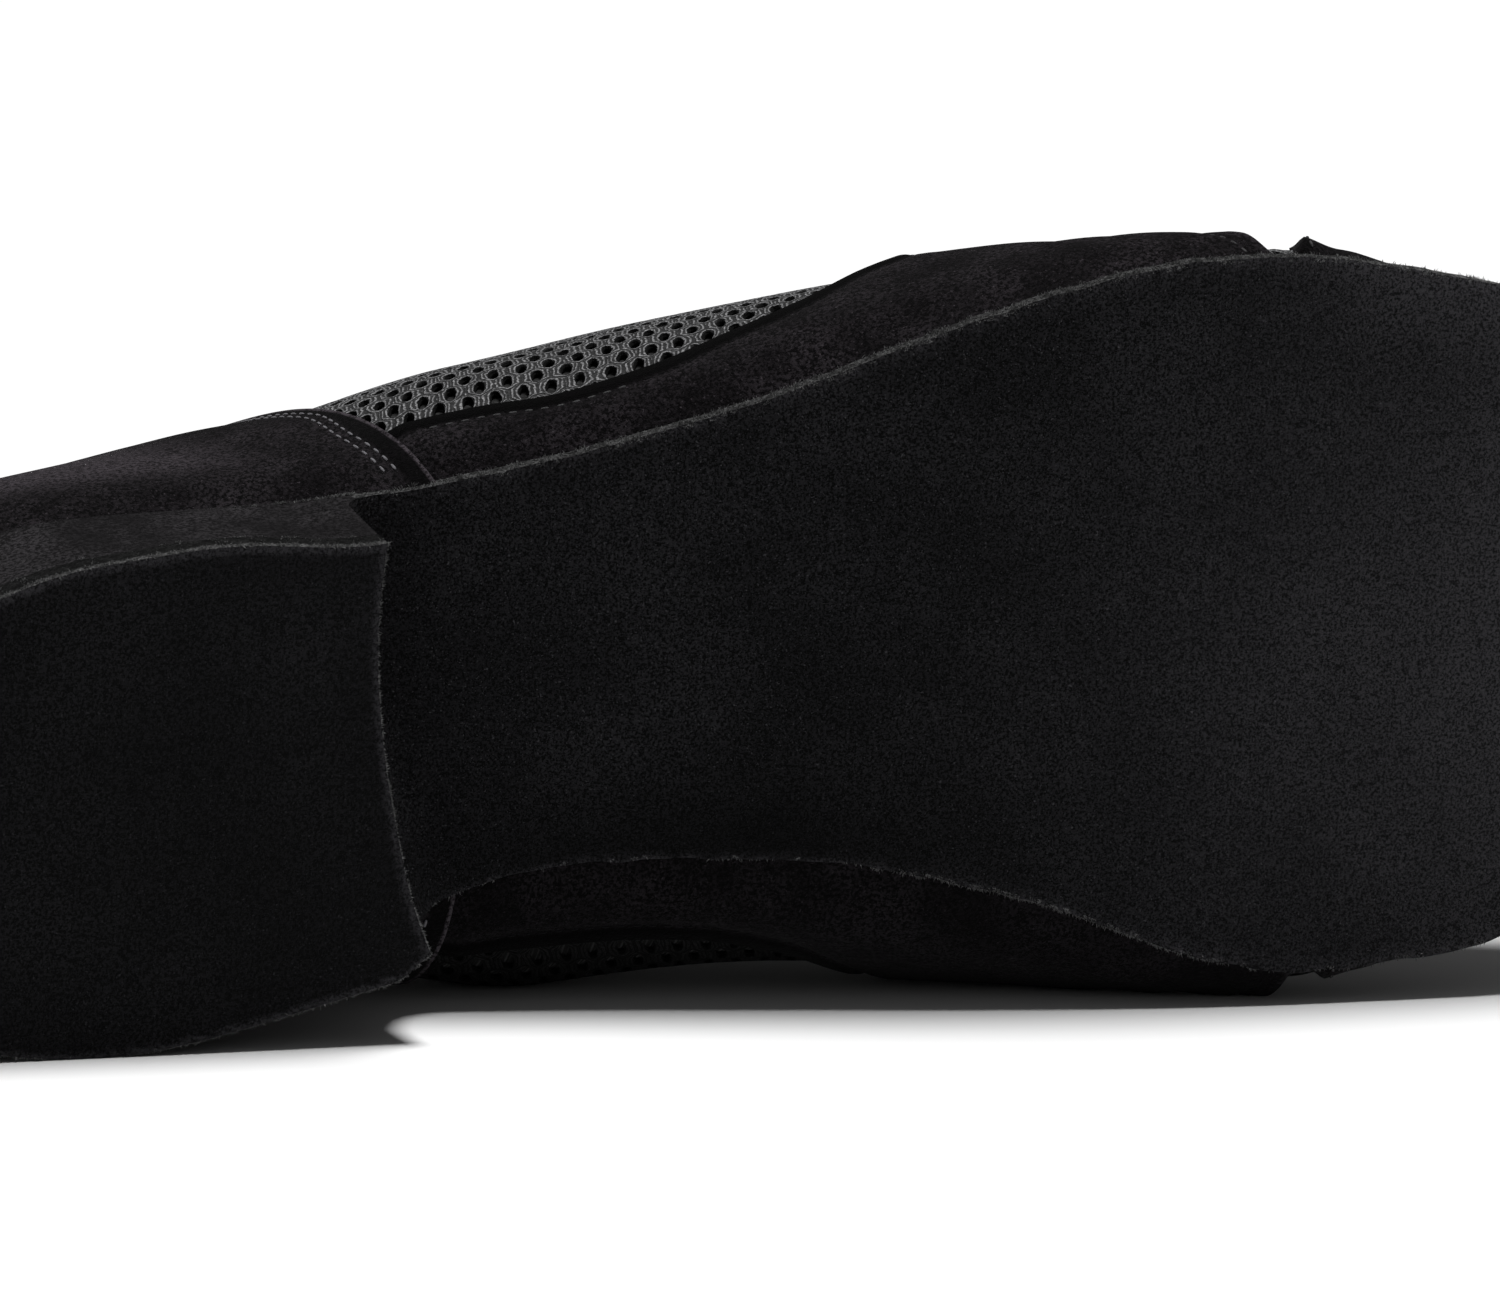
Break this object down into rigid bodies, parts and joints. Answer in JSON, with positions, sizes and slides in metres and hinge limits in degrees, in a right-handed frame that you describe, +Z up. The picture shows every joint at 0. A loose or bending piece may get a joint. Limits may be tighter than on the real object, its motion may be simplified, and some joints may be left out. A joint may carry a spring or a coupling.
{
  "type": "dance sneaker",
  "caption": "Low laced dance sneaker with a thin suede sole, low block heel, airy mesh upper and suede toe cap, saddle and heel counter, lying on its inner side.",
  "frame": {"origin": "centre of the box round the shoe, at the height of the floor it lies on", "axes": "+X towards the toe, +Z up from the floor to the shoe's outer side, -Y the way the sole faces"},
  "size_m": [0.2648, 0.091, 0.0935],
  "materials": {
    "mesh": "open air mesh, matte",
    "suede": "black suede, napped",
    "sole_suede": "rough black sole suede",
    "heel_suede": "smooth dark suede heel cover",
    "lining": "matte textile",
    "lace": "woven cord, matte"
  },
  "bodies": {
    "root": {"upper": "mesh", "heel_counter": "suede", "saddle_outer": "suede", "saddle_inner": "suede", "eyestay_outer": "suede", "eyestay_inner": "suede", "toe_cap": "suede", "tongue": "suede", "outsole": "sole_suede", "heel_top_piece": "sole_suede", "heel": "heel_suede", "insole": "lining", "lace": "lace"}
  },
  "joints": []
}
